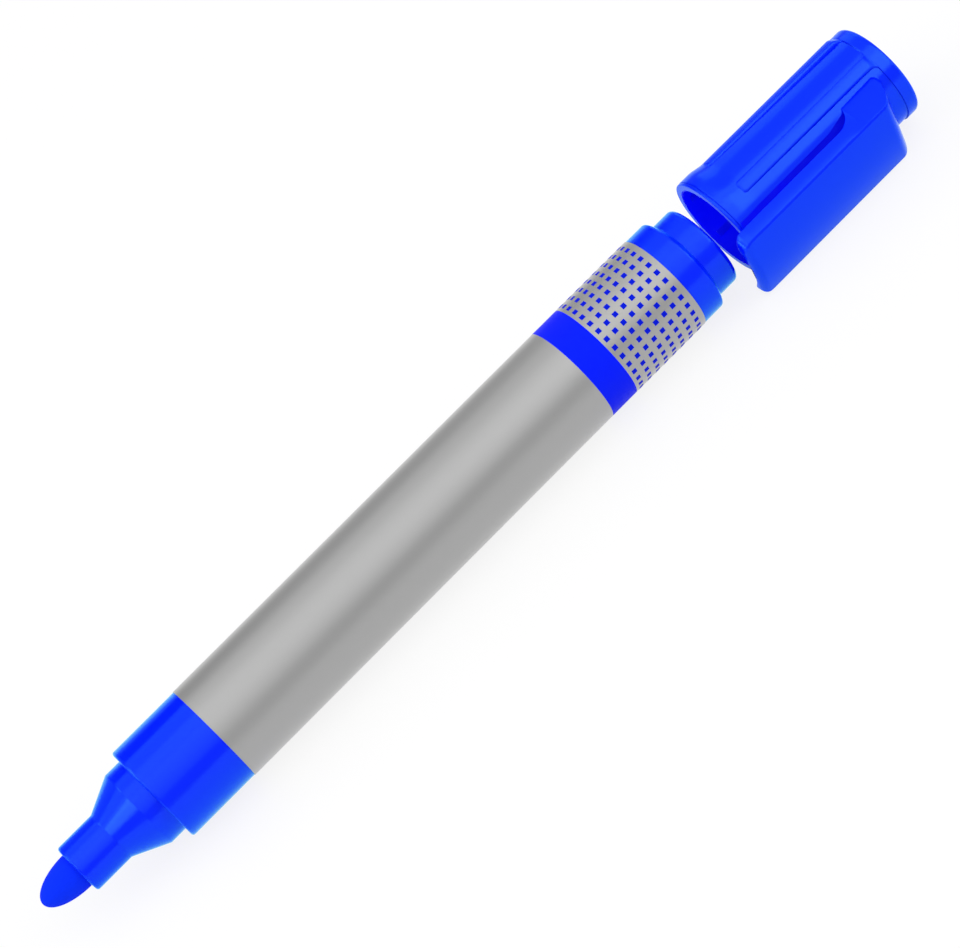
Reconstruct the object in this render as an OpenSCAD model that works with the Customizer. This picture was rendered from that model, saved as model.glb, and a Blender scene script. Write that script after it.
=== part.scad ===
// Bullet-tip marker lying on its side with its cap taken off behind the tail.
// The pen's axis is X, the nib points to -X, and the origin is the middle of the printed film.

/* [Barrel] */
// Outer diameter of the barrel tube
barrel_d = 15; // [14.6:0.1:16.4]
// Diameter of the tube's main bore
barrel_bore_d = 12.4; // [12:0.1:12.8]
// Bare length of tube in front of the film
barrel_front_len = 11.2; // [9.5:0.1:16]
// Rounding of the tube's front edge
barrel_edge = 0.4; // [0.1:0.05:0.6]
// Diameter of the front socket that holds the nose
socket_d = 13; // [12.9:0.1:13.4]
// Depth of that socket
socket_depth = 9; // [6:0.5:12]
// Thin walls inside the tube that centre the ink core
spacer_count = 6; // [3:1:8]
// Thickness of each of those walls
spacer_t = 0.8; // [0.5:0.1:1.2]

/* [Film] */
// Length of the printed film
film_len = 84.1; // [70:0.1:100]
// Thickness of the film
film_t = 0.065; // [0.04:0.005:0.15]

/* [Nose] */
// Diameter of the short cylinder that the cap closes over
seat_d = 12.2; // [11.6:0.1:12.6]
// Length of that cylinder
seat_len = 2.5; // [1.5:0.1:3.5]
// Length of the cone
cone_len = 4.9; // [3.5:0.1:6]
// Outer diameter of the sleeve around the nib
sleeve_d = 7.52; // [7:0.02:8]
// Length of that sleeve
sleeve_len = 6.1; // [4:0.1:7]
// Rounding of the sleeve's front edge
sleeve_edge = 0.4; // [0.1:0.05:0.5]
// Wall of the nose at the seat
nose_wall = 1.3; // [1:0.1:1.6]
// Fins that steady the nib inside the nose
fin_count = 4; // [3:1:6]
// Thickness of each fin
fin_t = 0.8; // [0.5:0.1:1.2]

/* [Nib] */
// Diameter of the nib
nib_d = 5.4; // [4.6:0.1:5.8]
// Length of nib in front of the sleeve
nib_out = 6.2; // [4:0.1:7]
// Length of nib pushed into the ink core
nib_bite = 8; // [4:0.5:14]

/* [Ink core] */
// Diameter of the fibre rod
core_d = 10.4; // [9.8:0.1:11]
// Thickness of the film around the rod
wrap_t = 0.2; // [0.1:0.05:0.3]
// Outer diameter of the breather tube
breather_d = 1; // [0.8:0.1:1.4]
// Bore of the breather tube
breather_bore_d = 0.5; // [0.3:0.1:0.5]

/* [Tail plug] */
// Diameter of the shoulder ring
ring_d = 15.02; // [14.6:0.02:15.6]
// Length of the ring with its shoulder
ring_len = 4; // [2.5:0.1:5]
// Length of the sloping shoulder
shoulder_len = 0.6; // [0.3:0.1:1]
// Diameter of the stub that takes the cap
stub_d = 12.7; // [12.4:0.05:12.9]
// Length of the stub
stub_len = 3.5; // [2.5:0.1:6]
// Rounding of the stub's end
stub_edge = 0.6; // [0.2:0.1:0.9]
// Length of the plug inside the tube
plug_len = 6; // [4:0.5:9]
// Wall of the plug
plug_wall = 1.2; // [0.9:0.1:1.6]

/* [Cap] */
// Length of the cap
cap_len = 31; // [30:0.1:34]
// Diameter at the lip
cap_mouth_d = 16; // [15.8:0.05:16.4]
// Diameter of the body just behind the lip
cap_neck_d = 15.6; // [15.4:0.02:15.7]
// Diameter of the body where it meets the end ring
cap_end_d = 14.64; // [14.4:0.02:14.7]
// Diameter of the end ring
end_ring_d = 14.76; // [14.72:0.02:15.2]
// Length of the end ring
end_ring_len = 2.1; // [1.5:0.1:2.2]
// Length of the lip with its run-out
lip_len = 3.6; // [2:0.1:3.7]
// Bore of the cap at the mouth
cap_bore_d = 13.4; // [13.2:0.05:13.8]
// Depth of that bore
cap_bore_depth = 8; // [7:0.5:9]
// Bore of the cap further in
cap_core_d = 12.7; // [12.4:0.1:13]
// Thickness of the closed end
cap_end_t = 1.4; // [1:0.1:2]
// Rounding of the closed end's edge
cap_edge = 0.6; // [0.3:0.1:0.9]
// Grip walls inside the mouth
grip_count = 6; // [3:1:8]
// Thickness of each grip wall
grip_t = 1; // [0.6:0.1:1.4]

/* [Cap ribs] */
// Number of raised ribs
rib_count = 5; // [3:2:5]
// Angle from one rib to the next
rib_pitch = 55.5; // [50:0.5:58]
// Angle that one rib spans
rib_span = 15.4; // [10:0.2:20]
// Diameter over the ribs at their front ends
rib_d = 15.78; // [15.74:0.02:16]
// Diameter over the ribs at the end ring
rib_end_d = 15.6; // [15.2:0.02:15.7]
// Distance from the mouth to the ribs
rib_start = 3.9; // [3.8:0.1:7]

/* [Clip] */
// Half the width of the clip
clip_half = 6; // [5:0.05:6.2]
// Height of the clip's long edges above the lip
clip_rise = 1.26; // [1.1:0.02:1.7]
// Crown of the clip above its edges
clip_crown = 0.7; // [0.6:0.05:1]
// Room between the cap's lip and the clip
clip_room = 0.95; // [0.7:0.05:1]
// Reach of the clip past the cap's mouth
clip_reach = 2.1; // [1:0.1:2.4]
// Rounding under the clip's tip
clip_tip_r = 1.1; // [0.4:0.1:1.3]
// Rounding of the clip's corners at the tip
clip_corner = 1.2; // [0.4:0.1:2]
// Distance from the mouth to the line on which the clip flexes
flex_x = 19.9; // [18:0.1:20]
// Length of the clip's top face behind the flex line
root_top = 5.3; // [4:0.1:5.4]
// Length of the slope from the top face down to the cap
root_slope = 2.6; // [2:0.1:2.8]
// Distance from the mouth to the hollow in the cap under the clip
hollow_start = 1.7; // [1.4:0.1:3]
// Depth of that hollow
hollow_depth = 0.45; // [0.2:0.05:0.5]
// Angle that the hollow spans
hollow_span = 86; // [70:1:92]

/* [Inner cap] */
// Distance from the mouth to the inner cap
inner_start = 8.6; // [8.2:0.1:10]
// Wall of the inner cap
inner_wall = 1.1; // [0.7:0.1:1.4]
// Thickness of the inner cap's base
inner_base_t = 1.2; // [0.8:0.1:2]

/* [Fits] */
// Gap between pieces that are pushed together
slip = 0.04; // [0.02:0.01:0.06]
// Gap between the cap's grip walls and the stub
post_gap = 0.05; // [0.03:0.01:0.08]
// Gap around the sleeve inside the inner cap
seal_gap = 0.06; // [0.03:0.01:0.1]
// Gap between the clip's round inner end and its seat
flex_gap = 0.05; // [0.03:0.01:0.08]
// Distance from the stub's end to the cap's mouth at rest
cap_off = 3; // [3:0.1:10]

/* [Hidden] */
$fn = 96;

barrel_r = barrel_d / 2;
bore_r = barrel_bore_d / 2;
socket_r = socket_d / 2;
film_r = barrel_r + slip / 4;
front_x = -film_len / 2 - barrel_front_len;
tail_x = film_len / 2;
nose_rear_x = front_x + socket_depth - slip;
cone_x = front_x - seat_len;
sleeve_x = cone_x - cone_len;
tip_x = sleeve_x - sleeve_len;
nib_r = nib_d / 2;
nib_bore_r = nib_r + slip;
nose_room_r = seat_d / 2 - nose_wall;
core_x = front_x + socket_depth + slip;
core_end_x = tail_x - plug_len - slip;
nib_rear_x = core_x + nib_bite;
wrap_r = core_d / 2 + slip / 2;
core_out_r = wrap_r + wrap_t + slip;
breather_at = core_d / 2 - breather_d / 2 - slip;
plug_r = bore_r - slip;
stub_x = tail_x + ring_len;
stub_end_x = stub_x + stub_len;
stub_r = stub_d / 2;
mouth_x = stub_end_x + cap_off;
mouth_r = cap_mouth_d / 2;
cap_bore_r = cap_bore_d / 2;
cap_core_r = cap_core_d / 2;
grip_r = stub_r + post_gap;
ring_x = cap_len - end_ring_len;
end_r = cap_end_d / 2;
neck_r = cap_neck_d / 2;
cap_floor = cap_len - cap_end_t;
clip_under_r = mouth_r + clip_room;
clip_edge_h = mouth_r + clip_rise;
crown_r = (clip_half * clip_half + clip_crown * clip_crown) / (2 * clip_crown);
crown_at = clip_edge_h + clip_crown - crown_r;
clip_top = clip_edge_h + clip_crown + 1;
root_end = flex_x + root_top;
hollow_end = flex_x + 1.5;
hollow_end_r = neck_r + (end_r - neck_r) * (hollow_end - lip_len) / (ring_x - lip_len);
clip_side_h = sqrt(clip_under_r * clip_under_r - clip_half * clip_half);
// The clip's round inner end is as thick as the clip
flex_h = (clip_side_h + clip_edge_h + clip_crown) / 2;
flex_r = (clip_edge_h + clip_crown - clip_side_h) / 2 + 0.05;
root_foot = sqrt(pow(cap_core_r + 0.45, 2) - clip_half * clip_half);
// The clip's lower edge comes down to the same level as the cap's lip
clip_reach_r = norm([clip_half, clip_edge_h]);
clip_drop = asin(mouth_r / clip_reach_r) - atan2(clip_half, clip_edge_h);
seal_r = sleeve_d / 2 + seal_gap;

function arc(cr, cx, r, from, to, steps = 6) =
    [for (i = [0:steps]) let (a = from + (to - from) * i / steps) [cr + r * cos(a), cx + r * sin(a)]];

// Turns a profile of [radius, distance along X] about the X axis
module turned(profile, span = 360) {
    rotate([0, 90, 0])
        rotate_extrude(angle = span)
            polygon(profile);
}

// A flat profile of [X, height], drawn out to both sides of the XZ plane
module flat_sided(profile, width) {
    rotate([90, 0, 0])
        linear_extrude(height = width, center = true)
            polygon(profile);
}

// A block that stands on the X axis between two radii
module fin(from_x, to_x, from_r, to_r, thick) {
    translate([from_x, -thick / 2, from_r])
        cube([to_x - from_x, thick, to_r - from_r]);
}

module along_x(from_x, to_x, r) {
    translate([from_x, 0, 0])
        rotate([0, 90, 0])
            cylinder(h = to_x - from_x, r = r);
}

module barrel_tube() {
    color([0.02, 0.12, 0.85]) {
        turned(concat(
            [[socket_r, front_x]],
            arc(barrel_r - barrel_edge, front_x + barrel_edge, barrel_edge, -90, 0),
            [[barrel_r, tail_x], [bore_r, tail_x]],
            [[bore_r, front_x + socket_depth], [socket_r, front_x + socket_depth]]));
        for (i = [0:spacer_count - 1])
            rotate([i * 360 / spacer_count, 0, 0])
                fin(core_x + 2, core_end_x - 2, core_out_r, bore_r + 0.3, spacer_t);
    }
}

module label_film() {
    color([0.72, 0.72, 0.72])
        turned([[film_r, -film_len / 2], [film_r + film_t, -film_len / 2],
            [film_r + film_t, film_len / 2], [film_r, film_len / 2]]);
}

module nose_cone() {
    color([0.02, 0.12, 0.85]) {
        turned(concat(
            [[nib_bore_r, tip_x]],
            arc(sleeve_d / 2 - sleeve_edge, tip_x + sleeve_edge, sleeve_edge, -90, 0),
            [[sleeve_d / 2, sleeve_x], [seat_d / 2, cone_x], [seat_d / 2, front_x]],
            [[socket_r - slip, front_x], [socket_r - slip, nose_rear_x], [nose_room_r, nose_rear_x]],
            [[nose_room_r, cone_x], [nib_bore_r, sleeve_x]]));
        for (i = [0:fin_count - 1])
            rotate([i * 360 / fin_count, 0, 0])
                fin(cone_x, nose_rear_x - 1, nib_bore_r, nose_room_r + 0.3, fin_t);
    }
}

module nib() {
    color([0.05, 0.15, 0.75])
        turned(concat(
            [for (i = [0:14]) [nib_r * sin(i * 90 / 14), tip_x - nib_out * cos(i * 90 / 14)]],
            [[nib_r, nib_rear_x - 0.6], [nib_r - 0.6, nib_rear_x], [0, nib_rear_x]]));
}

module ink_core() {
    color([0.03, 0.08, 0.6])
        difference() {
            along_x(core_x, core_end_x, core_d / 2);
            along_x(core_x - 1, nib_rear_x + slip, nib_bore_r);
            translate([0, 0, breather_at])
                along_x(core_x - 1, core_end_x + 1, breather_d / 2 + slip / 2);
            fin(core_x - 1, core_end_x + 1, breather_at, core_d, breather_d + slip);
        }
}

module core_wrap() {
    color([0.85, 0.87, 0.9])
        turned([[wrap_r, core_x], [wrap_r + wrap_t, core_x],
            [wrap_r + wrap_t, core_end_x], [wrap_r, core_end_x]]);
}

module breather_tube() {
    color([0.92, 0.92, 0.9])
        translate([0, 0, breather_at])
            turned([[breather_bore_d / 2, core_x], [breather_d / 2, core_x],
                [breather_d / 2, core_end_x], [breather_bore_d / 2, core_end_x]]);
}

module tail_plug() {
    shoulder_x = stub_x - shoulder_len;
    shoulder_edge = shoulder_len * 0.8;
    color([0.02, 0.12, 0.85])
        turned(concat(
            [[plug_r - plug_wall, tail_x - plug_len], [plug_r, tail_x - plug_len]],
            [[plug_r, tail_x], [ring_d / 2, tail_x]],
            arc(ring_d / 2 - shoulder_edge, shoulder_x - shoulder_edge / 4, shoulder_edge, 0, 62),
            [[stub_r, stub_x]],
            arc(stub_r - stub_edge, stub_end_x - stub_edge, stub_edge, 0, 90),
            [[0, stub_end_x], [0, stub_end_x - plug_wall], [plug_r - plug_wall, stub_end_x - plug_wall]]));
}

// The cap is drawn with its mouth at X = 0 and its clip upwards, then put in its place
module on_cap() {
    translate([mouth_x, 0, 0])
        rotate([90 + clip_drop, 0, 0])
            children();
}

module cap_rib() {
    rotate([180 - rib_span / 2, 0, 0])
        turned([[cap_core_r + 0.3, rib_start], [rib_d / 2, rib_start], [rib_end_d / 2, ring_x + 0.25],
            [cap_core_r + 0.3, ring_x + 0.25]], rib_span);
}

// The shallow room that the cap's wall leaves under the clip
module clip_hollow() {
    rotate([180 - hollow_span / 2, 0, 0])
        turned([[neck_r - hollow_depth, hollow_start], [mouth_r + 1, hollow_start],
            [mouth_r + 1, hollow_end], [hollow_end_r - hollow_depth, hollow_end]], hollow_span);
}

// A side profile drawn out to the clip's width under its crowned top
module crowned(profile) {
    intersection() {
        flat_sided(profile, 2 * clip_half);
        translate([0, 0, crown_at])
            along_x(-clip_reach - 1, cap_len, crown_r);
    }
}

// Outline of the clip from above, with round corners at the tip
module clip_plan() {
    linear_extrude(height = clip_top)
        polygon(concat(
            arc(clip_corner - clip_reach, clip_corner - clip_half, clip_corner, 270, 180),
            arc(clip_corner - clip_reach, clip_half - clip_corner, clip_corner, 180, 90),
            [[cap_len, clip_half], [cap_len, -clip_half]]));
}

// The round line on which the clip flexes
module flex_round(r) {
    translate([flex_x, 0, flex_h])
        rotate([90, 0, 0])
            cylinder(h = 4 * clip_half, r = r, center = true);
}

// The block on the cap that the clip grows from
module clip_root() {
    difference() {
        crowned([[flex_x + 1.4, root_foot], [root_end + root_slope, root_foot],
            [root_end + root_slope, clip_side_h - 1.4], [root_end, clip_edge_h], [root_end, clip_top],
            [flex_x, clip_top], [flex_x + 0.4, flex_h - flex_r]]);
        flex_round(flex_r + flex_gap);
        along_x(0, cap_len, cap_core_r + 0.3);
    }
}

module cap_shell() {
    color([0.02, 0.12, 0.85])
        on_cap() {
            difference() {
                turned(concat(
                    [[cap_bore_r + 0.15, 0], [mouth_r - 0.45, 0]],
                    arc(mouth_r - 0.4, 0.4, 0.4, -60, 0, 4),
                    [[mouth_r, 1.3], [neck_r, lip_len], [end_r, ring_x], [end_ring_d / 2, ring_x]],
                    arc(end_ring_d / 2 - cap_edge, cap_len - cap_edge, cap_edge, 0, 90),
                    [[0, cap_len], [0, cap_floor], [cap_core_r, cap_floor]],
                    [[cap_core_r, cap_bore_depth], [cap_bore_r, cap_bore_depth], [cap_bore_r, 0.6]]));
                clip_hollow();
            }
            for (i = [0:rib_count - 1])
                rotate([180 + rib_pitch * (i - (rib_count - 1) / 2), 0, 0])
                    cap_rib();
            for (i = [0:grip_count - 1])
                rotate([i * 360 / grip_count, 0, 0])
                    fin(1, cap_bore_depth + 0.4, grip_r, cap_bore_r + 0.3, grip_t);
            clip_root();
        }
}

module cap_clip() {
    color([0.02, 0.12, 0.85])
        on_cap()
            difference() {
                intersection() {
                    crowned(concat(
                        arc(clip_tip_r - clip_reach, clip_side_h + clip_tip_r, clip_tip_r, 270, 180),
                        [[-clip_reach, clip_top], [flex_x, clip_top], [flex_x, clip_side_h]]));
                    clip_plan();
                }
                along_x(-clip_reach - 1, cap_len, clip_under_r);
            }
    color([0.02, 0.12, 0.85])
        on_cap()
            difference() {
                intersection() {
                    flex_round(flex_r);
                    crowned([[flex_x, clip_side_h], [flex_x + 2 * flex_r, clip_side_h],
                        [flex_x + 2 * flex_r, clip_top], [flex_x, clip_top]]);
                }
                along_x(-clip_reach - 1, cap_len, clip_under_r);
            }
}

module inner_cap() {
    base_x = cap_floor - inner_base_t - slip;
    color([0.9, 0.9, 0.88])
        on_cap()
            turned([[seal_r, inner_start], [seal_r + inner_wall, inner_start], [seal_r + inner_wall, base_x],
                [cap_core_r - slip, base_x], [cap_core_r - slip, cap_floor - slip], [0, cap_floor - slip],
                [0, base_x], [seal_r, base_x]]);
}

barrel_tube();
label_film();
nose_cone();
nib();
ink_core();
core_wrap();
breather_tube();
tail_plug();
cap_shell();
cap_clip();
inner_cap();
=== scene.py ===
import math
import bmesh
import bpy
from mathutils import Matrix, Vector


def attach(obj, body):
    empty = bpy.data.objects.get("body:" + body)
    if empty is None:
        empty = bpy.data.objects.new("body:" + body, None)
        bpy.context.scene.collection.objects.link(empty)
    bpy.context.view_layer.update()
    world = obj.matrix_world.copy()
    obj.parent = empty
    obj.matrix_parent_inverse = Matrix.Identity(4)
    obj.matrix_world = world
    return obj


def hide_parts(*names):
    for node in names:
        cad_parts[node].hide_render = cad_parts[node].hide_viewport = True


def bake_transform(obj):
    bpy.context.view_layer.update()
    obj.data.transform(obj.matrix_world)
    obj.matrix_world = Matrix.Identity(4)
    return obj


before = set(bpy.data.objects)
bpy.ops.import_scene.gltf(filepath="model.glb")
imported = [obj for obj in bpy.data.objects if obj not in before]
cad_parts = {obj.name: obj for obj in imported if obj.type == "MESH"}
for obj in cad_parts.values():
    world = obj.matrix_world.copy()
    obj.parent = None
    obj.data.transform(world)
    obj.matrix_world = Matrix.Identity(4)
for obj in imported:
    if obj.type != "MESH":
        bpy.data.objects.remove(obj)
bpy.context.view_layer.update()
scene = bpy.context.scene
scene.view_settings.view_transform = "Standard"
mm = 0.001  # every size below is in millimetres


# a socket of a node tree, so that sums on it can be written out plainly
class Wire:
    def __init__(self, tree, socket=None):
        self.tree = tree
        self.socket = socket

    # any node: its settings first, then the values or wires of its sockets
    def add(self, kind, settings=None, sockets=None, out=0):
        node = self.tree.nodes.new(kind)
        for name, value in (settings or {}).items():
            setattr(node, name, value)
        for name, value in (sockets or {}).items():
            if isinstance(value, Wire):
                self.tree.links.new(value.socket, node.inputs[name])
            else:
                node.inputs[name].default_value = value
        return Wire(self.tree, node.outputs[out])

    def maths(self, operation, *values):
        return self.add("ShaderNodeMath", {"operation": operation}, dict(enumerate(values)))

    def __add__(self, other):
        return self.maths("ADD", self, other)

    def __sub__(self, other):
        return self.maths("SUBTRACT", self, other)

    def __rsub__(self, other):
        return self.maths("SUBTRACT", other, self)

    def __mul__(self, other):
        return self.maths("MULTIPLY", self, other)

    def __truediv__(self, other):
        return self.maths("DIVIDE", self, other)

    __radd__ = __add__
    __rmul__ = __mul__


# a finish starts from its colour and the values that are the same all over it
def newFinish(name, colour, fixed):
    finish = bpy.data.materials.new(name)
    finish.use_nodes = True
    finish.diffuse_color = (*colour, 1)
    shader = finish.node_tree.nodes["Principled BSDF"]
    shader.inputs["Base Color"].default_value = (*colour, 1)
    for socket, value in fixed.items():
        shader.inputs[socket].default_value = value
    return finish, Wire(finish.node_tree), shader


def joinTo(wire, shader, socket):
    wire.tree.links.new(wire.socket, shader.inputs[socket])


# noise on the piece's own coordinates, in grains per metre along each axis
def grain(wire, along, across, detail=2.0):
    place = wire.add("ShaderNodeTexCoord", out="Object")
    spread = wire.add("ShaderNodeMapping", {"vector_type": "POINT"},
                      {"Vector": place, "Scale": (along, across, across)})
    return wire.add("ShaderNodeTexNoise", None, {"Vector": spread, "Scale": 1.0, "Detail": detail})


def twoTone(wire, share, first, second):
    return wire.add("ShaderNodeMix", {"data_type": "RGBA"},
                    {0: share, 6: (*first, 1), 7: (*second, 1)}, out=2)


def raised(wire, height, strength, depth):
    return wire.add("ShaderNodeBump", None,
                    {"Height": height, "Strength": strength, "Distance": depth * mm})


# the shine on this plastic is blue too, so a clear layer takes the red out of it,
# and on the cap some of the green
mouldedBlue = {
    "penBlue": {"colour": (0.0012, 0.0060, 0.980), "deep": (0.0010, 0.0050, 0.955), "gloss": 0.18,
                "level": 0.50, "layer": (0.20, 1.00, 1.0), "layerIor": 1.1},
    "capBlue": {"colour": (0.0015, 0.0120, 0.980), "deep": (0.0012, 0.0100, 0.955), "gloss": 0.18,
                "level": 0.95, "layer": (0.12, 0.62, 1.0), "layerIor": 1.1}}
# how it varies: drift of the melt along the mould, and pores
melt = {"flow": (60, 140), "pores": (2200, 2200), "smoother": 0.05, "byFlow": 0.06, "byPores": 0.04,
        "bump": (0.06, 0.02)}


def makeMouldedBlue(name):
    look = mouldedBlue[name]
    finish, wire, shader = newFinish(name, look["colour"], {
        "Specular IOR Level": look["level"], "Coat Weight": 1.0, "Coat Roughness": look["gloss"],
        "Coat IOR": look["layerIor"], "Coat Tint": (*look["layer"], 1)})
    flow = grain(wire, *melt["flow"])
    pores = grain(wire, *melt["pores"])
    joinTo(twoTone(wire, flow, look["deep"], look["colour"]), shader, "Base Color")
    rough = look["gloss"] - melt["smoother"] + flow * melt["byFlow"] + pores * melt["byPores"]
    joinTo(rough, shader, "Roughness")
    joinTo(raised(wire, pores, *melt["bump"]), shader, "Normal")
    return finish


# inside of the cap and its wall under the clip: matt; light scatters inside the thin wall, and a painted
# glow on top of that lights the inside where it lies in shade
capLining = {"colour": (0.0010, 0.0040, 0.980), "deep": (0.0008, 0.0030, 0.950), "gloss": 0.60,
             "level": 0.12, "glowDepth": 4.0, "glowTint": (0.05, 0.1, 1.0), "paintedGlow": 0.17}


def makeCapLining():
    look = capLining
    # its emission is a painted glow, not light from any lamp
    finish, wire, shader = newFinish("capLining", look["colour"], {
        "Specular IOR Level": look["level"], "Subsurface Weight": 1.0,
        "Subsurface Radius": look["glowTint"], "Subsurface Scale": look["glowDepth"] * mm,
        "Emission Color": (*look["colour"], 1), "Emission Strength": look["paintedGlow"]})
    flow = grain(wire, *melt["flow"])
    joinTo(twoTone(wire, flow, look["deep"], look["colour"]), shader, "Base Color")
    joinTo(look["gloss"] + flow * melt["byFlow"], shader, "Roughness")
    return finish


# metal flakes in the ink, and faint draw lines along the film
silverFilm = {"colour": (0.355, 0.355, 0.355), "deep": (0.325, 0.325, 0.324), "metal": 0.55,
              "gloss": 0.45, "lacquer": 0.32, "lacquerIor": 1.7, "flakes": (5200, 5200, 3.0),
              "lines": (40, 700), "shares": (0.7, 0.3), "smoother": 0.06, "byFlakes": 0.08,
              "byLines": 0.04, "bump": (0.05, 0.01)}


def makeSilverFilm():
    look = silverFilm
    finish, wire, shader = newFinish("silverFilm", look["colour"], {
        "Metallic": look["metal"], "Coat Weight": 1.0, "Coat Roughness": look["lacquer"],
        "Coat IOR": look["lacquerIor"]})
    flakes = grain(wire, *look["flakes"])
    lines = grain(wire, *look["lines"])
    share = flakes * look["shares"][0] + lines * look["shares"][1]
    joinTo(twoTone(wire, share, look["deep"], look["colour"]), shader, "Base Color")
    rough = look["gloss"] - look["smoother"] + flakes * look["byFlakes"] + lines * look["byLines"]
    joinTo(rough, shader, "Roughness")
    joinTo(raised(wire, flakes, *look["bump"]), shader, "Normal")
    return finish


blueShine = (0.10, 0.60, 1.0, 1)  # tint of the faint shine on ink and felt
# the ink of the small squares is darker than that of the band, and both lie a little thinner in places
printedInk = {
    "bandInk": {"colour": (0.0030, 0.0110, 0.960), "thin": (0.0040, 0.0150, 0.920)},
    "squareInk": {"colour": (0.0022, 0.0080, 0.640), "thin": (0.0030, 0.0110, 0.610)}}
inkLayer = {"gloss": 0.45, "level": 0.06, "cover": (900, 900), "byCover": 0.06}


def makePrintedInk(name):
    look, layer = printedInk[name], inkLayer
    finish, wire, shader = newFinish(name, look["colour"], {
        "Specular IOR Level": layer["level"], "Specular Tint": blueShine})
    cover = grain(wire, *layer["cover"])
    joinTo(twoTone(wire, cover, look["thin"], look["colour"]), shader, "Base Color")
    joinTo(layer["gloss"] + cover * layer["byCover"], shader, "Roughness")
    return finish


# fibres run along the nib
nibFelt = {"colour": (0.0040, 0.0330, 0.960), "dark": (0.0030, 0.0240, 0.860), "gloss": 0.88,
           "level": 0.15, "strands": (900, 5200, 4.0), "byStrands": 0.1, "bump": (0.35, 0.05)}


def makeNibFelt():
    look = nibFelt
    finish, wire, shader = newFinish("nibFelt", look["colour"], {
        "Specular IOR Level": look["level"], "Specular Tint": blueShine})
    strands = grain(wire, *look["strands"])
    joinTo(twoTone(wire, strands, look["dark"], look["colour"]), shader, "Base Color")
    joinTo(look["gloss"] + strands * look["byStrands"], shader, "Roughness")
    joinTo(raised(wire, strands, *look["bump"]), shader, "Normal")
    return finish


# hidden pieces: two tones on a grain that runs along the pen
hiddenLooks = {
    "sealPlastic": {"tones": ((0.80, 0.80, 0.78), (0.72, 0.72, 0.70)), "strands": (300, 300),
                    "gloss": 0.35},
    "coreFibre": {"tones": ((0.010, 0.050, 0.55), (0.006, 0.030, 0.42)), "strands": (300, 4000),
                  "gloss": 0.85},
    "wrapFilm": {"tones": ((0.74, 0.77, 0.82), (0.68, 0.71, 0.76)), "strands": (200, 900),
                 "gloss": 0.25},
    "breatherPlastic": {"tones": ((0.82, 0.82, 0.79), (0.76, 0.76, 0.73)), "strands": (200, 900),
                        "gloss": 0.35}}
hiddenGrain = {"detail": 3.0, "byStrands": 0.08, "bump": (0.1, 0.02)}


def makeHidden(name):
    look = hiddenLooks[name]
    first, second = look["tones"]
    finish, wire, shader = newFinish(name, first, {})
    strands = grain(wire, *look["strands"], hiddenGrain["detail"])
    joinTo(twoTone(wire, strands, first, second), shader, "Base Color")
    joinTo(look["gloss"] + strands * hiddenGrain["byStrands"], shader, "Roughness")
    joinTo(raised(wire, strands, *hiddenGrain["bump"]), shader, "Normal")
    return finish


penBlue, capBlue = makeMouldedBlue("penBlue"), makeMouldedBlue("capBlue")
capInside = makeCapLining()
silver = makeSilverFilm()
bandInk, squareInk = makePrintedInk("bandInk"), makePrintedInk("squareInk")
felt = makeNibFelt()
sealPlastic, coreFibre = makeHidden("sealPlastic"), makeHidden("coreFibre")
wrapFilm, breatherPlastic = makeHidden("wrapFilm"), makeHidden("breatherPlastic")
print("finishes made:", len(bpy.data.materials))


# an arc takes up to this share of the sides next to it, and has a support line this far beside it
arcs = {"steps": 6, "share": 0.48, "support": 0.08, "supportShare": 0.45}


# the corner p between a and b drawn as an arc
def roundCorner(a, p, b, radius, steps):
    a, p, b = Vector(a), Vector(p), Vector(b)
    u, v = a - p, b - p
    half = u.angle(v) / 2
    reach = min(radius / math.tan(half), arcs["share"] * u.length, arcs["share"] * v.length)
    u.normalize()
    v.normalize()
    size = reach * math.tan(half)
    centre = p + (u + v).normalized() * (size / math.sin(half))
    first, last = p + u * reach - centre, p + v * reach - centre
    turn = math.pi - 2 * half
    points = []
    for i in range(steps + 1):
        t = i / steps
        between = first * math.sin((1 - t) * turn) + last * math.sin(t * turn)
        points.append(centre + between / math.sin(turn))
    return points


# a turned profile from corners of (x, radius) and the rounding of each
def profileOf(corners, roundings, closed=True):
    points = []
    count = len(corners)
    for i, (corner, rounding) in enumerate(zip(corners, roundings)):
        if rounding == 0:
            points.append(corner)
            continue
        a, b = corners[i - 1], corners[(i + 1) % count]
        arc = roundCorner(a, corner, b, rounding, arcs["steps"])
        toA, toB = Vector(a) - arc[0], Vector(b) - arc[-1]
        points.append(tuple(arc[0] + toA * min(arcs["supportShare"], arcs["support"] / toA.length)))
        points.extend(tuple(point) for point in arc)
        points.append(tuple(arc[-1] + toB * min(arcs["supportShare"], arcs["support"] / toB.length)))
    if closed:
        points.append(points[0])
    return points


def addPiece(name, mesh):
    piece = bpy.data.objects.new(name, mesh)
    scene.collection.objects.link(piece)
    return piece


weldReach = 1e-7  # metres
axisReach = 1e-6  # a smaller radius is a point on the axis


def meshFrom(name, work, finishes, crease=34):
    bmesh.ops.remove_doubles(work, verts=work.verts, dist=weldReach)
    bmesh.ops.recalc_face_normals(work, faces=work.faces)
    for face in work.faces:
        face.smooth = True
    mesh = bpy.data.meshes.new(name)
    work.to_mesh(mesh)
    work.free()
    for finish in finishes:
        mesh.materials.append(finish)
    mesh.set_sharp_from_angle(angle=math.radians(crease))
    return mesh


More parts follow.
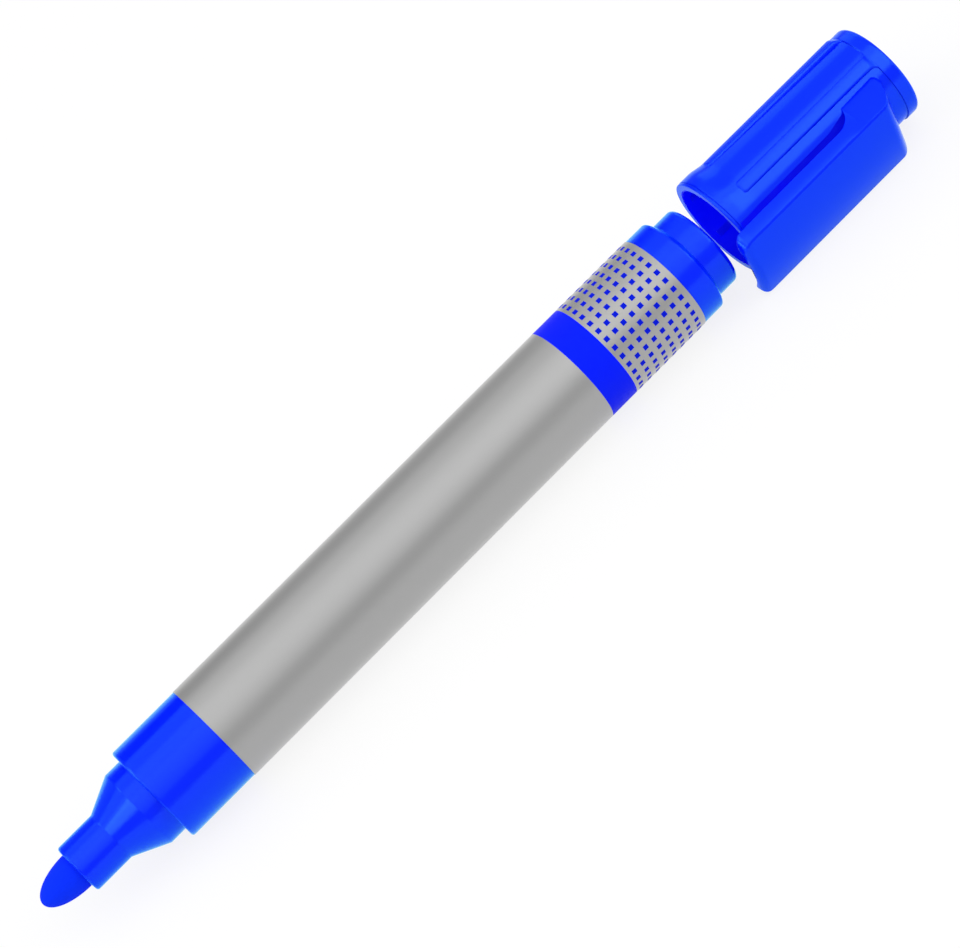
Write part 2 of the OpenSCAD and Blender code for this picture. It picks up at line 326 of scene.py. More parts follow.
# turns a profile about the pen's axis; bands gives the material number of a stretch of x
def turned(name, profile, finishes, sides=128, bands=()):
    work = bmesh.new()
    rings = []
    for x, r in profile:
        if r < axisReach:
            rings.append([work.verts.new((x * mm, 0, 0))] * sides)
            continue
        rings.append([work.verts.new((x * mm, -r * mm * math.cos(a), r * mm * math.sin(a)))
                      for a in (2 * math.pi * i / sides for i in range(sides))])
    for near, far in zip(rings, rings[1:]):
        for i in range(sides):
            j = (i + 1) % sides
            corners = list(dict.fromkeys([near[i], near[j], far[j], far[i]]))
            if len(corners) > 2:
                face = work.faces.new(corners)
                x = face.calc_center_median().x / mm
                for start, end, number in bands:
                    if start < x < end:
                        face.material_index = number
    return addPiece(name, meshFrom(name, work, finishes))


# "soft" holds the roundings of a piece, corner by corner
barrel = {"front": -53.25, "tail": 42.05, "outside": 7.5, "bore": 6.2, "socket": 6.5, "socketEnd": -44.25,
          "soft": (0.1, 0.4, 0.08, 0.08, 0.05, 0.05)}


def makeBarrel():
    b = barrel
    corners = [(b["front"], b["socket"]), (b["front"], b["outside"]), (b["tail"], b["outside"]),
               (b["tail"], b["bore"]), (b["socketEnd"], b["bore"]), (b["socketEnd"], b["socket"])]
    return turned("barrel", profileOf(corners, b["soft"]), [penBlue])


film = {"end": 42.05, "inside": 7.51, "outside": 7.575, "bandFrom": 24.49, "bandTo": 28.97}


def makeFilm():
    f = film
    profile = [(-f["end"], f["inside"]), (-f["end"], f["outside"]), (f["bandFrom"], f["outside"]),
               (f["bandTo"], f["outside"]), (f["end"], f["outside"]), (f["end"], f["inside"]),
               (-f["end"], f["inside"])]
    return turned("film", profile, [silver, bandInk], bands=[(f["bandFrom"], f["bandTo"], 1)])


nose = {"tip": -66.75, "sleeveEnd": -60.65, "coneEnd": -55.75, "shoulder": -53.25, "rear": -44.29,
        "sleeve": 3.76, "seat": 6.1, "plug": 6.46, "bore": 2.74, "room": 4.8,
        "soft": (0.12, 0.4, 0.5, 0.35, 0.05, 0.05, 0.2, 0.1, 0.3, 0.2)}


def makeNose():
    n = nose
    corners = [(n["tip"], n["bore"]), (n["tip"], n["sleeve"]), (n["sleeveEnd"], n["sleeve"]),
               (n["coneEnd"], n["seat"]), (n["shoulder"], n["seat"]), (n["shoulder"], n["plug"]),
               (n["rear"], n["plug"]), (n["rear"], n["room"]), (n["coneEnd"], n["room"]),
               (n["sleeveEnd"], n["bore"])]
    return turned("nosePiece", profileOf(corners, n["soft"]), [penBlue])


nib = {"tip": -72.95, "exit": -66.75, "rear": -36.21, "radius": 2.7, "chamfer": 0.6,
       "steps": 24, "sides": 96}


def makeNib():
    n = nib
    length = n["exit"] - n["tip"]
    bullet = [(n["exit"] - length * math.cos(a), n["radius"] * math.sin(a))
              for a in (math.pi / 2 * i / n["steps"] for i in range(n["steps"] + 1))]
    back = [(n["rear"] - n["chamfer"], n["radius"]), (n["rear"], n["radius"] - n["chamfer"]),
            (n["rear"], 0)]
    return turned("nibTip", bullet + back, [felt], n["sides"])


# the ring slopes down to the stub in two steps
tail = {"plugEnd": 36.05, "ringFrom": 42.05, "ringTo": 46.05, "stubEnd": 49.55, "plug": 6.16,
        "ring": 7.51, "stub": 6.35, "wall": 1.2, "slope": 0.6, "foot": 0.1, "step": 0.3,
        "soft": (0, 0, 0.3, 0.1, 0.3, 0.02, 0.06, 0.35, 0.1, 0.08, 0.6)}


def makeTail():
    t = tail
    inner, base = t["plug"] - t["wall"], t["stubEnd"] - t["wall"]
    corners = [(t["stubEnd"], 0), (base, 0), (base, inner), (t["plugEnd"], inner),
               (t["plugEnd"], t["plug"]), (t["ringFrom"], t["plug"]), (t["ringFrom"], t["ring"]),
               (t["ringTo"] - t["slope"], t["ring"]), (t["ringTo"] - t["foot"], t["stub"] + t["step"]),
               (t["ringTo"], t["stub"]), (t["stubEnd"], t["stub"])]
    return turned("tailPlug", profileOf(corners, t["soft"]), [penBlue])


# the groove behind the lip is given as places and depths
cap = {"mouth": 52.55, "length": 31.0, "lip": 8.0, "lipTo": 2.0, "neck": 7.66, "neckAt": 4.6,
       "end": 7.22, "ringAt": 28.9, "ring": 7.40, "bore": 6.7, "boreTo": 8.0, "core": 6.35, "floor": 29.6,
       "turn": 13.5307, "lipDrop": 0.03, "groove": ((0.36, 0.02), (0.44, 0.18), (0.52, 0.01)),
       "liningSoft": (0, 0.4, 0.1, 0.1, 0.15, 0), "frontSoft": (0, 0.24, 0.04, 0.03, 0.05, 0),
       "rearSoft": (0, 0.06, 0.14, 0.6, 0), "crease": 30}
clipSide = math.radians(90 + cap["turn"])  # the turn that brings the cap's clip from +Z to its place
# the room in the cap's wall under the clip, wider towards the clip's root; its ends and sides are steps
hollow = {"from": 0.7, "to": 21.6, "depth": 0.62, "half": 44.5, "flare": 4.5, "flareFrom": 17.4,
          "flareTo": 21.0, "step": 0.03, "sideStep": 0.008}
capRows = {"first": 1.2, "gap": 0.4, "count": 51}  # rings of points along the hollow
capSides = {"hollow": 24, "round": 106}  # faces around the cap, in the hollow and in the rest


def smoothRise(x, start, end):
    t = min(max((x - start) / (end - start), 0.0), 1.0)
    return t * t * (3 - 2 * t)


# outside of the cap's wall between lip and end ring
def capWall(x):
    c = cap
    slope = (c["neck"] - c["end"]) / (c["ringAt"] - c["neckAt"])
    waist = c["lip"] + (c["neck"] - c["lip"]) * smoothRise(x, c["lipTo"], c["neckAt"])
    return waist - max(x - c["neckAt"], 0) * slope


# one ring of points around the cap, sunk where the hollow is
def capRing(work, x, radius, sunk):
    h = hollow
    half = math.radians(h["half"] + h["flare"] * smoothRise(x, h["flareFrom"], h["flareTo"]))
    edge = half + h["sideStep"]
    inside, around = capSides["hollow"], capSides["round"]
    turns = [(half * (2 * i / inside - 1), radius - sunk) for i in range(inside + 1)]
    turns += [(edge + (2 * math.pi - 2 * edge) * i / (around - 1), radius) for i in range(around)]
    return [work.verts.new(((x + cap["mouth"]) * mm, -r * math.sin(clipSide + turn) * mm,
                            r * math.cos(clipSide + turn) * mm)) for turn, r in turns]


def makeCap():
    c, h = cap, hollow
    lip, step = c["lip"], h["step"]
    lining = [(c["floor"], 0), (c["floor"], c["core"]), (c["boreTo"], c["core"]),
              (c["boreTo"], c["bore"]), (0, c["bore"]), (0, lip)]
    lining = profileOf(lining, c["liningSoft"], closed=False)[:-1]
    front = [(0, c["bore"]), (0, lip - c["lipDrop"])]
    front += [(x, lip - drop) for x, drop in c["groove"]] + [(h["from"] - step, lip)]
    front = profileOf(front, c["frontSoft"], closed=False)[1:]
    rows = [capRows["first"] + capRows["gap"] * i for i in range(capRows["count"])]
    rows = [h["from"] + step] + rows + [h["to"] - step, h["to"] + step]
    rear = [(h["to"] + step, capWall(h["to"])), (c["ringAt"], c["end"]), (c["ringAt"], c["ring"]),
            (c["length"], c["ring"]), (c["length"], 0)]
    rear = profileOf(rear, c["rearSoft"], closed=False)[1:]
    profile = lining + front + [(x, capWall(x)) for x in rows] + rear
    work = bmesh.new()
    rings = []
    for i, (x, r) in enumerate(profile):
        if r < axisReach:
            centre = work.verts.new(((x + c["mouth"]) * mm, 0, 0))
            rings.append([centre] * (capSides["hollow"] + 1 + capSides["round"]))
        else:
            sunk = i >= len(lining) and h["from"] < x < h["to"]
            rings.append(capRing(work, x, r, h["depth"] if sunk else 0.0))
    for i, (near, far) in enumerate(zip(rings, rings[1:])):
        within = i < len(lining) - 1
        atHollow = i >= len(lining) and h["from"] < profile[i][0] < h["to"] - step
        for j in range(len(near)):
            k = (j + 1) % len(near)
            corners = list(dict.fromkeys([near[j], near[k], far[k], far[j]]))
            if len(corners) > 2:
                # the hollow's floor under the clip takes the lining, whose glow is painted light in the
                # shaded slot
                glowUnderClip = atHollow and j < capSides["hollow"]
                work.faces.new(corners).material_index = 1 if within or glowUnderClip else 0
    return addPiece("capBody", meshFrom("capBody", work, [capBlue, capInside], c["crease"]))


seal = {"from": 8.6, "bore": 3.82, "wall": 1.1, "base": 28.36, "to": 29.56, "flange": 6.31,
        "soft": (0, 0, 0.3, 0.3, 0.2, 0.2, 0.1, 0.1)}


def makeSeal():
    s = seal
    outer = s["bore"] + s["wall"]
    front, base, rear = cap["mouth"] + s["from"], cap["mouth"] + s["base"], cap["mouth"] + s["to"]
    corners = [(rear, 0), (base, 0), (base, s["bore"]), (front, s["bore"]), (front, outer), (base, outer),
               (base, s["flange"]), (rear, s["flange"])]
    return turned("sealCup", profileOf(corners, s["soft"]), [sealPlastic])


pieces = {"barrel": makeBarrel(), "film": makeFilm(), "nose": makeNose(), "nib": makeNib(),
          "tail": makeTail(), "cap": makeCap(), "seal": makeSeal()}
print("turned pieces made:", ", ".join(pieces))


# a tree with named inputs, its group input as wires by name, and the node that takes the result
def newTree(name, inputs):
    tree = bpy.data.node_groups.new(name, "GeometryNodeTree")
    tree.interface.new_socket("Geometry", in_out="OUTPUT", socket_type="NodeSocketGeometry")
    for label, kind in inputs.items():
        tree.interface.new_socket(label, in_out="INPUT", socket_type="NodeSocket" + kind)
    given = tree.nodes.new("NodeGroupInput")
    result = tree.nodes.new("NodeGroupOutput")
    return tree, Wire(tree), {label: Wire(tree, given.outputs[label]) for label in inputs}, result


# puts copies of a shape on points, makes them real and gives them their finish
def endTree(wire, points, shape, turn, finish, result):
    copies = wire.add("GeometryNodeInstanceOnPoints", None, {
        "Points": points, "Instance": shape, "Rotation": turn})
    real = wire.add("GeometryNodeRealizeInstances", None, {"Geometry": copies})
    done = wire.add("GeometryNodeSetMaterial", None, {"Geometry": real, "Material": finish})
    wire.tree.links.new(done.socket, result.inputs["Geometry"])


def grow(name, tree, values):
    piece = addPiece(name, bpy.data.meshes.new(name + "Start"))
    modifier = piece.modifiers.new("grow", "NODES")
    modifier.node_group = tree
    for item in tree.interface.items_tree:
        if item.in_out == "INPUT":
            modifier[item.identifier] = values[item.name]
    graph = bpy.context.evaluated_depsgraph_get()
    mesh = bpy.data.meshes.new_from_object(piece.evaluated_get(graph), depsgraph=graph)
    piece.modifiers.remove(modifier)
    mesh.name = name
    piece.data = mesh
    return piece


# small squares in rows around a tube
def squareGridTree():
    tree, wire, given, result = newTree("squareGrid", {
        "Columns": "Int", "Rows": "Int", "Pitch": "Float", "Size": "Float", "Radius": "Float",
        "Lift": "Float", "First": "Float", "Finish": "Material"})
    sink = given["Lift"] * 3  # the squares reach three times as far into the film
    size = wire.add("ShaderNodeCombineXYZ", None, {
        0: given["Size"], 1: given["Size"], 2: given["Lift"] + sink})
    patch = wire.add("GeometryNodeMeshCube", None, {"Size": size})
    height = given["Radius"] + (given["Lift"] - sink) * 0.5
    patch = wire.add("GeometryNodeTransform", None, {
        "Geometry": patch, "Translation": wire.add("ShaderNodeCombineXYZ", None, {2: height})})
    number = wire.add("GeometryNodeInputIndex")
    row = wire.maths("FLOOR", number / given["Columns"])
    column = number - row * given["Columns"]
    place = wire.add("ShaderNodeCombineXYZ", None, {0: given["First"] + column * given["Pitch"]})
    points = wire.add("GeometryNodePoints", None, {
        "Count": given["Columns"] * given["Rows"], "Position": place})
    turn = wire.add("ShaderNodeCombineXYZ", None, {0: row * (2 * math.pi) / given["Rows"]})
    endTree(wire, points, patch, turn, given["Finish"], result)
    return tree


# thin walls that stand around the axis between two radii
def wallRingTree():
    tree, wire, given, result = newTree("wallRing", {
        "Count": "Int", "Thickness": "Float", "From Radius": "Float", "To Radius": "Float",
        "From": "Float", "To": "Float", "Turn": "Float", "Finish": "Material"})
    size = wire.add("ShaderNodeCombineXYZ", None, {
        0: given["To"] - given["From"], 1: given["Thickness"],
        2: given["To Radius"] - given["From Radius"]})
    middle = wire.add("ShaderNodeCombineXYZ", None, {
        0: (given["To"] + given["From"]) * 0.5, 2: (given["To Radius"] + given["From Radius"]) * 0.5})
    wall = wire.add("GeometryNodeTransform", None, {
        "Geometry": wire.add("GeometryNodeMeshCube", None, {"Size": size}), "Translation": middle})
    points = wire.add("GeometryNodePoints", None, {"Count": given["Count"]})
    number = wire.add("GeometryNodeInputIndex")
    turn = wire.add("ShaderNodeCombineXYZ", None, {
        0: given["Turn"] + number * (2 * math.pi) / given["Count"]})
    endTree(wire, points, wall, turn, given["Finish"], result)
    return tree


padMesh = {"along": 81, "across": 31, "lastRow": 0.9999, "weld": 1e-6}


# raised pads along a cap, with rounded ends and edges, that sink into its wall
# and widen into its end ring
def ribRingTree():
    tree, wire, given, result = newTree("ribRing", {
        "Count": "Int", "Pitch": "Float", "Span": "Float", "From": "Float", "To": "Float",
        "Front Radius": "Float", "Rear Radius": "Float", "Ring Radius": "Float", "Depth": "Float",
        "Edge": "Float", "Corner": "Float", "Web": "Float", "Turn": "Float", "Finish": "Material"})
    sheet = wire.add("GeometryNodeMeshGrid", None, {
        "Size X": 1.0, "Size Y": 1.0, "Vertices X": padMesh["along"], "Vertices Y": padMesh["across"]})
    spot = wire.add("GeometryNodeInputPosition")
    split = wire.add("ShaderNodeSeparateXYZ", None, {0: spot})
    along = wire.maths("SINE", split * math.pi) * 0.5 + 0.5  # cells crowd towards the ends
    side = wire.maths("SINE", Wire(tree, split.socket.node.outputs["Y"]) * math.pi) * 0.5
    length = given["To"] - given["From"]
    width = given["Span"] * given["Front Radius"]
    fromFront = along * length
    fromRear = length - fromFront

    def least(a, b):
        return wire.maths("MINIMUM", a, b)

    def most(a, b):
        return wire.maths("MAXIMUM", a, b)

    def softStep(value):
        return wire.add("ShaderNodeMapRange", {"interpolation_type": "SMOOTHSTEP"}, {"Value": value})

    # the hollow curve by which the pad widens at its rear
    into = most(given["Web"] - fromRear, 0.0)
    curve = wire.maths("SQRT", most(given["Web"] * given["Web"] - into * into, 0.0))
    half = width * 0.5 + given["Web"] - curve
    fromMiddle = wire.maths("ABSOLUTE", side) * 2 * half
    # distance in from the outline, with round corners at the front
    overFront = most(given["Corner"] - fromFront, 0.0)
    overSide = most(given["Corner"] - (half - fromMiddle), 0.0)
    inward = given["Corner"] - wire.maths("SQRT", overFront * overFront + overSide * overSide)
    climb = most(1.0 - most(inward, 0.0) / given["Edge"], 0.0)
    bow = wire.maths("SQRT", most(1.0 - climb * climb, 0.0))
    # from the pad's crest down to the ring, on the web and at the rear
    down = most(softStep((fromMiddle - width * 0.5 + given["Edge"]) / given["Web"]),
                softStep(1.0 - fromRear / given["Web"]))
    crest = given["Front Radius"] + (given["Rear Radius"] - given["Front Radius"]) * along
    lowest = crest - given["Depth"]
    start = softStep(into / given["Web"] * 3)  # the descent sets in over the first third of the web
    crest = crest + (given["Ring Radius"] - crest) * least(down, start)
    angle = side * 2 * half / given["Front Radius"]

    def wrapped(radius):
        place = wire.add("ShaderNodeCombineXYZ", None, {
            0: given["From"] + fromFront, 1: radius * wire.maths("SINE", angle),
            2: radius * wire.maths("COSINE", angle)})
        return wire.add("GeometryNodeSetPosition", None, {"Geometry": sheet, "Position": place})

    rearWall = wire.add("FunctionNodeCompare", {"data_type": "FLOAT", "operation": "GREATER_THAN"},
                        {0: along, 1: padMesh["lastRow"]})
    top = wrapped(wire.add("GeometryNodeSwitch", {"input_type": "FLOAT"}, {
        "Switch": rearWall, "False": lowest + bow * (crest - lowest), "True": lowest}))
    under = wire.add("GeometryNodeFlipFaces", None, {"Mesh": wrapped(lowest)})
    both = wire.add("GeometryNodeJoinGeometry", None, {"Geometry": top})
    tree.links.new(under.socket, both.socket.node.inputs["Geometry"])
    pad = wire.add("GeometryNodeMergeByDistance", None, {"Geometry": both, "Distance": padMesh["weld"]})
    points = wire.add("GeometryNodePoints", None, {"Count": given["Count"]})
    number = wire.add("GeometryNodeInputIndex")
    steps = number - (given["Count"] - 1) * 0.5
    turn = wire.add("ShaderNodeCombineXYZ", None, {0: given["Turn"] + steps * given["Pitch"]})
    endTree(wire, points, pad, turn, given["Finish"], result)
    return tree


squares = {"columns": 8, "rows": 31, "pitch": 1.5675, "size": 0.70, "lift": 0.012, "first": 29.84}
ribs = {"count": 5, "pitch": 55.5, "span": 16.6, "from": 3.9, "to": 29.0, "front": 7.92, "rear": 7.82,
        "depth": 0.75, "edge": 0.42, "corner": 0.6, "web": 1.1, "sink": 0.01, "crease": 40}
squareGrid, wallRing, ribRing = squareGridTree(), wallRingTree(), ribRingTree()

pieces["squares"] = grow("filmSquares", squareGrid, {
    "Columns": squares["columns"], "Rows": squares["rows"], "Pitch": squares["pitch"] * mm,
    "Size": squares["size"] * mm, "Radius": film["outside"] * mm, "Lift": squares["lift"] * mm,
    "First": squares["first"] * mm, "Finish": squareInk})
pieces["ribs"] = grow("capRibs", ribRing, {
    "Count": ribs["count"], "Pitch": math.radians(ribs["pitch"]), "Span": math.radians(ribs["span"]),
    "From": (cap["mouth"] + ribs["from"]) * mm, "To": (cap["mouth"] + ribs["to"]) * mm,
    "Front Radius": ribs["front"] * mm, "Rear Radius": ribs["rear"] * mm,
    "Ring Radius": (cap["ring"] - ribs["sink"]) * mm, "Depth": ribs["depth"] * mm,
    "Edge": ribs["edge"] * mm, "Corner": ribs["corner"] * mm, "Web": ribs["web"] * mm,
    "Turn": clipSide + math.pi, "Finish": capBlue})
for face in pieces["ribs"].data.polygons:
    face.use_smooth = True
pieces["ribs"].data.set_sharp_from_angle(angle=math.radians(ribs["crease"]))

# walls inside: grips in the cap's mouth, spacers around the ink core, fins behind the nib
walls = {
    # the grips take the lining, with its painted glow
    "capGrips": {"count": 6, "thick": 1.0, "radii": (6.40, 6.9), "reach": (53.55, 60.95),
                 "turn": clipSide, "finish": capInside},
    "coreSpacers": {"count": 6, "thick": 0.8, "radii": (5.46, 6.5), "reach": (-42.21, 34.01),
                    "turn": 0.0, "finish": penBlue},
    "nibFins": {"count": 4, "thick": 0.8, "radii": (2.74, 5.1), "reach": (-55.75, -45.29),
                "turn": 0.0, "finish": penBlue}}
for name, w in walls.items():
    pieces[name] = grow(name, wallRing, {
        "Count": w["count"], "Thickness": w["thick"] * mm, "From Radius": w["radii"][0] * mm,
        "To Radius": w["radii"][1] * mm, "From": w["reach"][0] * mm, "To": w["reach"][1] * mm,
        "Turn": w["turn"], "Finish": w["finish"]})
print("repeated pieces made:", len(pieces["squares"].data.polygons), "square faces,",
      len(pieces["ribs"].data.polygons), "rib faces")

clip = {"half": 6.0, "edge": 9.12, "crown": 0.84, "under": 8.95, "reach": 2.1, "tipRound": 0.8,
        "corner": 1.7, "endRound": 1.1, "slitFrom": 18.2, "slitTo": 21.4, "topEnd": 25.4, "slopeEnd": 27.8,
        "slopeLow": 5.24, "foot": 6.75, "skin": 0.12, "rearCorner": 0.9, "rearGap": 0.1, "crest": 2.0,
        "bevel": 0.30, "bevelDrop": 0.17, "bevelRound": 0.10, "bevelSteps": 3, "lowEdge": 0.25,
        "lowSteps": 5, "draft": 0.26, "bendFrom": 21.6, "bendTo": 18.4, "inner": 0.9, "strips": 18,
        "crease": 38}
# stretches along the clip, from the cap's mouth, and the number of rings of points in each
clipRuns = ((-2.1, -1.8, 8), (-1.8, -0.9, 9), (-0.9, 1.1, 4), (1.1, 18.2, 17), (18.2, 20.6, 10),
            (20.6, 21.2, 8), (21.2, 21.4, 8), (21.4, 23.6, 5), (23.6, 26.8, 28), (26.8, 27.8, 12))


# how far a rounding of this radius has still to go at the distance t into it
def quarter(t, radius):
    t = min(max(t, 0.0), radius)
    return radius - math.sqrt(radius * radius - (radius - t) ** 2)


# the smaller of two heights, with a soft change from one to the other
def softLeast(a, b, width):
    mix = max(width - abs(a - b), 0.0) / width
    return min(a, b) - mix * mix * width / 4


# outline of the clip across its length at x, as (w, h): w across it, h away from the pen's axis
def clipOutline(x):
    c = clip
    t = x + c["reach"]
    half = c["half"] - quarter(t, c["corner"])
    half -= quarter(c["slopeEnd"] + c["rearGap"] - x, c["rearCorner"])
    crownRadius = (c["half"] ** 2 + c["crown"] ** 2) / (2 * c["crown"])
    slitLength = c["slitTo"] - c["slitFrom"]
    slit = quarter(c["slitTo"] - x, slitLength) / slitLength  # a hollow curve
    sideLow = math.sqrt(c["under"] ** 2 - c["half"] ** 2) + quarter(t, c["tipRound"])
    height = c["edge"] + c["crown"]
    fall = (height - c["slopeLow"]) / (c["slopeEnd"] - c["topEnd"])

    def top(w):
        h = height - crownRadius + math.sqrt(crownRadius ** 2 - w * w) - quarter(t, c["endRound"])
        h = softLeast(h, height - (x - c["topEnd"]) * fall, c["crest"])
        return max(h, math.sqrt((c["foot"] + c["skin"]) ** 2 - w * w))

    def low(w):
        free = max(math.sqrt(c["under"] ** 2 - w * w), sideLow)
        return free + (math.sqrt(c["foot"] ** 2 - w * w) - free) * slit

    inside = [half * (c["inner"] - 2 * c["inner"] * i / c["strips"]) for i in range(c["strips"] + 1)]
    over = [(w, top(w)) for w in inside]
    beneath = [(w, low(w)) for w in reversed(inside)]
    inset = half - c["bevel"]
    bevelArc, lowArc = (c["bevelRound"], c["bevelSteps"]), (c["lowEdge"], c["lowSteps"])
    right, left = (half, top(half) - c["bevelDrop"]), (-half, top(half) - c["bevelDrop"])
    rightTop, leftTop = (inset, top(inset)), (-inset, top(inset))
    lean = c["draft"] * (1 - slit)  # the free sides lean out towards the cap
    rightLow, leftLow = (half + lean, low(half)), (-half - lean, low(half))
    points = roundCorner(rightLow, right, rightTop, *bevelArc)
    points += roundCorner(right, rightTop, over[0], *bevelArc) + over
    points += roundCorner(over[-1], leftTop, left, *bevelArc)
    points += roundCorner(leftTop, left, leftLow, *bevelArc)
    points += roundCorner(left, leftLow, beneath[0], *lowArc) + beneath
    points += roundCorner(beneath[-1], rightLow, right, *lowArc)
    return points


def stations(runs):
    return [start + (end - start) * i / count for start, end, count in runs for i in range(count)]


def makeClip():
    c = clip
    work = bmesh.new()
    cosTurn, sinTurn = math.cos(clipSide), math.sin(clipSide)
    loops = []
    for x in stations(clipRuns) + [c["slopeEnd"]]:
        loops.append([work.verts.new(((cap["mouth"] + x) * mm, (w * cosTurn - h * sinTurn) * mm,
                                      (w * sinTurn + h * cosTurn) * mm)) for w, h in clipOutline(x)])
    for near, far in zip(loops, loops[1:]):
        for i in range(len(near)):
            j = (i + 1) % len(near)
            work.faces.new((near[i], near[j], far[j], far[i]))
    work.faces.new(loops[0])
    work.faces.new(loops[-1])
    return addPiece("capClip", meshFrom("capClip", work, [capBlue], c["crease"]))


pieces["clip"] = makeClip()
print("clip made:", len(pieces["clip"].data.polygons), "faces")

rides = {"pen": ["barrel", "film", "squares", "nose", "nib", "tail", "coreSpacers", "nibFins"],
         "cap": ["cap", "ribs", "seal", "capGrips"]}
stands = {"barrel": "barrel_tube", "film": "label_film", "nose": "nose_cone", "nib": "nib",
          "tail": "tail_plug", "cap": "cap_shell", "seal": "inner_cap", "clip": "cap_clip"}
for body, names in rides.items():
    for name in names:
        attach(pieces[name], body)
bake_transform(pieces["clip"])
for name, node in stands.items():
    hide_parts(node)
keptNodes = {"ink_core": coreFibre, "core_wrap": wrapFilm, "breather_tube": breatherPlastic}
for node, finish in keptNodes.items():
    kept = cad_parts[node]
    kept.data.materials.clear()
    kept.data.materials.append(finish)
print("pieces ride on their bodies:", len(pieces))

# the floor is shown as white to this share, and keeps the rest of its shadow
stage = {"floorAt": -8.02, "floorSize": 6000, "floorSides": 64, "floorTone": 0.90, "floorGloss": 0.9,
         "floorLevel": 0.1, "glow": 0.85, "skyTone": 0.40}


def makeFloor():
    s = stage
    work = bmesh.new()
    bmesh.ops.create_circle(work, cap_ends=True, radius=s["floorSize"] * mm, segments=s["floorSides"],
                            matrix=Matrix.Translation((0, 0, s["floorAt"] * mm)))
    mesh = bpy.data.meshes.new("floor")
    work.to_mesh(mesh)
    work.free()
    tone = s["floorTone"]
    finish, wire, shader = newFinish("paleFloor", (tone, tone, tone), {
        "Roughness": s["floorGloss"], "Specular IOR Level": s["floorLevel"]})
    path = wire.add("ShaderNodeLightPath", out="Is Camera Ray")
    rays = path.socket.node.outputs
    seen = wire.maths("MAXIMUM", path, Wire(wire.tree, rays["Is Glossy Ray"]))
    seen = wire.maths("MAXIMUM", seen, Wire(wire.tree, rays["Is Transmission Ray"]))
    white = wire.add("ShaderNodeEmission", None, {"Color": (1, 1, 1, 1), "Strength": 1.0})
    lit = Wire(wire.tree, shader.outputs[0])
    both = wire.add("ShaderNodeMixShader", None, {0: seen * s["glow"], 1: lit, 2: white})
    wire.tree.links.new(both.socket, finish.node_tree.nodes["Material Output"].inputs["Surface"])
    mesh.materials.append(finish)
    return addPiece("floor", mesh)


# two black cards behind the pen: their mirror image is the dark line on top of the bare barrel
# and of the tail ring
card = {"spans": ((-72, 30), (212, 302)), "behind": 980, "low": 230, "high": 960,
        "colour": (0.01, 0.01, 0.01), "gloss": 0.9}


def makeCard():
    c = card
    corners = []
    for left, right in c["spans"]:
        corners += [(left, c["low"]), (right, c["low"]), (right, c["high"]), (left, c["high"])]
    mesh = bpy.data.meshes.new("darkCard")
    points = [(x * mm, c["behind"] * mm, z * mm) for x, z in corners]
    mesh.from_pydata(points, [], [(0, 1, 2, 3), (4, 5, 6, 7)])
    mesh.materials.append(newFinish("blackCard", c["colour"], {"Roughness": c["gloss"]})[0])
    piece = addPiece("darkCard", mesh)
    piece.visible_camera = False
    return piece


def makeSky():
    world = bpy.data.worlds.new("studio")
    scene.world = world
    world.use_nodes = True
    backdrop = world.node_tree.nodes["Background"]
    backdrop.inputs["Color"].default_value = (1, 1, 1, 1)
    backdrop.inputs["Strength"].default_value = stage["skyTone"]


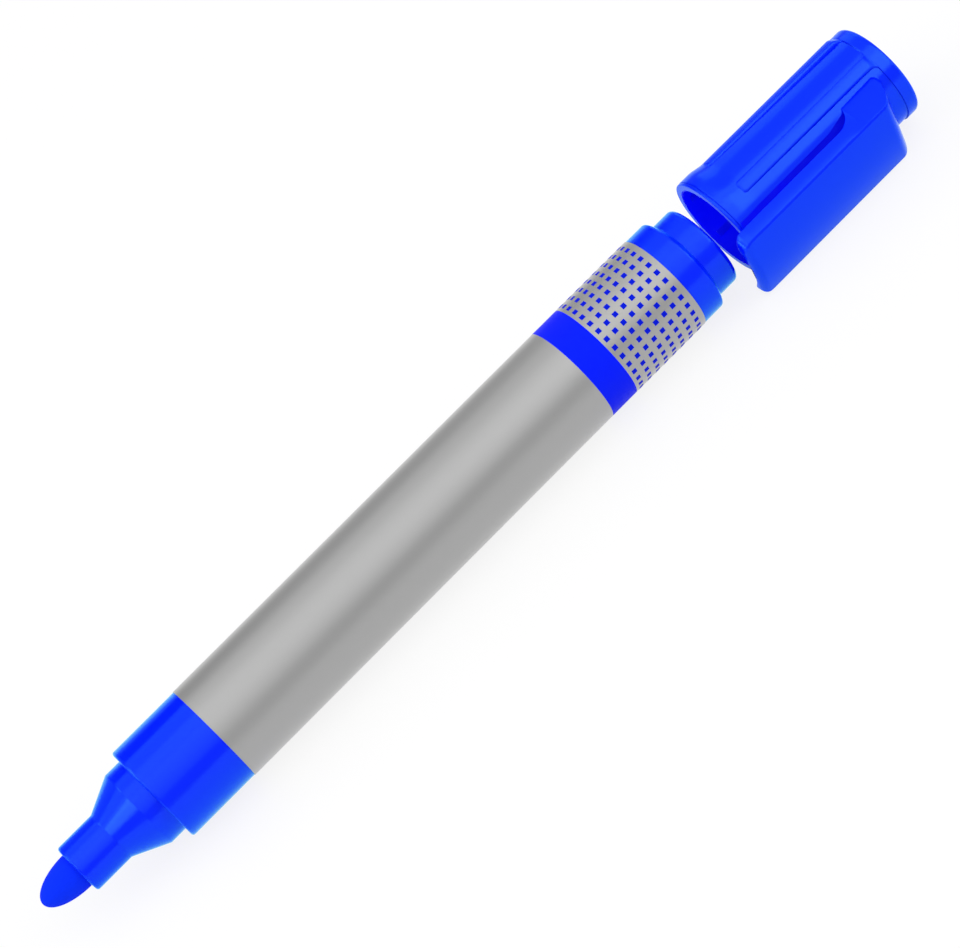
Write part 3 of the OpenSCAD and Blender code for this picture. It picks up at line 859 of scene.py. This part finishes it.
# soft boxes: where they stand, what they point at, their size and their power in watts;
# panel and top hang side by side, so that the light overhead falls off towards the back,
# and a spread in degrees makes a box dimmer at a slant
lamps = {
    "penPanel": {"at": (-805, 565, 1000), "aim": (-805, 565, 0), "size": (2190, 770), "power": 2.94},
    "penTop": {"at": (-805, -35, 1000), "aim": (-805, -35, 0), "size": (2190, 430), "power": 3.06},
    "capPanel": {"at": (895, 500, 1000), "aim": (895, 500, 0), "size": (1210, 900), "power": 0.75},
    "capTop": {"at": (895, -100, 1000), "aim": (895, -100, 0), "size": (1210, 300), "power": 1.25},
    "penBox": {"at": (-805, -835, 812), "aim": (-805, -576, -154), "size": (2190, 1192), "power": 3.54,
               "spread": 116},
    "capBox": {"at": (915, -660, 895), "aim": (915, 0, 0), "size": (1170, 860), "power": 5.53},
    "backBox": {"at": (900, 1000, 560), "aim": (900, 0, 0), "size": (1100, 680), "power": 1.91},
    "nibBox": {"at": (-950, 440, 350), "aim": (50, 0, 0), "size": (440, 460), "power": 1.8},
    "coneBox": {"at": (-830, -240, 575), "aim": (-58, 0, 0), "size": (430, 440), "power": 1.10},
    "nubBox": {"at": (-440, 350, 775), "aim": (54, -9, 0), "size": (320, 380), "power": 0.60},
    "endBox": {"at": (1000, -300, 420), "aim": (60, 0, 0), "size": (700, 600), "power": 1.27}}
fullSpread = 180  # of a box that names none


def makeLamps():
    for name, l in lamps.items():
        light = bpy.data.lights.new(name, "AREA")
        light.shape = "RECTANGLE"
        light.size, light.size_y = l["size"][0] * mm, l["size"][1] * mm
        light.energy = l["power"]
        light.spread = math.radians(l.get("spread", fullSpread))
        lamp = bpy.data.objects.new(name, light)
        scene.collection.objects.link(lamp)
        lamp.location = Vector(l["at"]) * mm
        lamp.rotation_euler = (Vector(l["aim"]) - Vector(l["at"])).to_track_quat("-Z", "Y").to_euler()


# the pen runs from lower left to upper right of the picture, seen a little from its nib end
view = {"lean": 7.5, "height": 42.4, "distance": 460, "aimAt": 6.54, "aimLow": 0.6, "lens": 131.25,
        "sensor": 36.0, "near": 0.01, "far": 20.0}


def makeCamera():
    v = view
    lean, height = math.radians(v["lean"]), math.radians(v["height"])
    back = Vector((-math.sin(lean), -math.cos(lean) * math.cos(height),
                   math.cos(lean) * math.sin(height)))
    across = Vector((math.cos(lean), -math.cos(height) * math.sin(lean),
                     math.sin(height) * math.sin(lean)))
    rise = Vector((0, math.sin(height), math.cos(height)))
    right, up = (across - rise).normalized(), (across + rise).normalized()
    place = Vector((v["aimAt"], 0, 0)) - rise * v["aimLow"] + back * v["distance"]
    eye = bpy.data.cameras.new("camera")
    eye.lens, eye.sensor_width = v["lens"], v["sensor"]
    eye.clip_start, eye.clip_end = v["near"], v["far"]
    camera = bpy.data.objects.new("camera", eye)
    scene.collection.objects.link(camera)
    camera.matrix_world = Matrix.Translation(place * mm) @ Matrix((right, up, back)).transposed().to_4x4()
    scene.camera = camera


makeFloor()
makeCard()
makeSky()
makeLamps()
makeCamera()
print("stage set")
